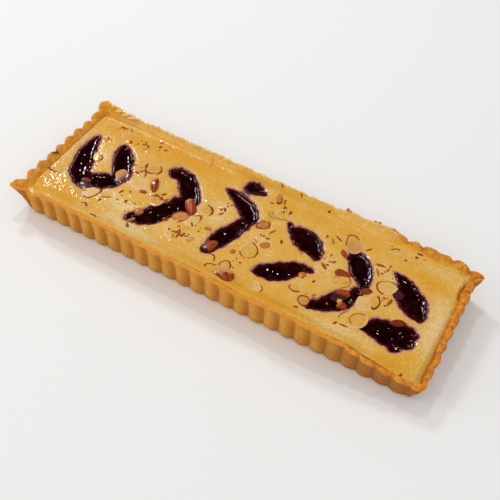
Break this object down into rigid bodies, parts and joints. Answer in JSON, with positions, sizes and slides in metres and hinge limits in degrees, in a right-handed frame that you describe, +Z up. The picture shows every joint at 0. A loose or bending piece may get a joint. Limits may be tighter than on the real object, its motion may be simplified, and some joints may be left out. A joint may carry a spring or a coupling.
{
  "type": "plum almond tart",
  "caption": "Long rectangular fluted shortcrust tart filled with baked almond custard, with sunken plum slices in chevrons and scattered flaked almonds.",
  "frame": {"origin": "middle of the flat base, on the surface the tart stands on", "axes": "+X along the tart, towards the slumped corner's end; +Y across it; +Z up"},
  "size_m": [0.3622, 0.1261, 0.0314],
  "materials": {
    "shortcrust": "baked shortcrust pastry, golden brown, dry and finely grained, browner on the rim",
    "custard": "baked egg and almond custard, golden with paler patches, satin glaze",
    "plum": "baked plum flesh and skin, near-black burgundy, wet and glossy",
    "almond": "sliced almond, pale cream with a thin brown skin line, lightly glazed",
    "almond_skin": "almond with its red-brown skin on, glazed"
  },
  "bodies": {
    "root": {"almond_flake_1": "almond", "almond_flake_10": "almond", "almond_flake_11": "almond", "almond_flake_12": "almond", "almond_flake_13": "almond", "almond_flake_14": "almond", "almond_flake_15": "almond", "almond_flake_16": "almond", "almond_flake_17": "almond", "almond_flake_18": "almond", "almond_flake_19": "almond", "almond_flake_2": "almond", "almond_flake_20": "almond", "almond_flake_21": "almond", "almond_flake_22": "almond", "almond_flake_23": "almond", "almond_flake_24": "almond", "almond_flake_25": "almond", "almond_flake_26": "almond", "almond_flake_27": "almond", "almond_flake_28": "almond", "almond_flake_29": "almond", "almond_flake_3": "almond", "almond_flake_30": "almond", "almond_flake_31": "almond", "almond_flake_32": "almond", "almond_flake_33": "almond", "almond_flake_34": "almond", "almond_flake_35": "almond", "almond_flake_4": "almond", "almond_flake_5": "almond", "almond_flake_6": "almond", "almond_flake_7": "almond", "almond_flake_8": "almond", "almond_flake_9": "almond", "almond_half_1": "almond_skin", "almond_half_2": "almond_skin", "almond_half_3": "almond_skin", "almond_half_4": "almond_skin", "almond_half_5": "almond_skin", "custard": "custard", "pastry_case": "shortcrust", "plum_1_foot": "plum", "plum_1_left": "plum", "plum_1_right": "plum", "plum_2_lower": "plum", "plum_2_upper": "plum", "plum_3_loose": "plum", "plum_3_lower": "plum", "plum_3_upper": "plum", "plum_4_lower": "plum", "plum_4_upper": "plum", "plum_5_lower": "plum", "plum_5_upper": "plum", "plum_6_lower": "plum", "plum_6_upper": "plum"}
  },
  "joints": []
}
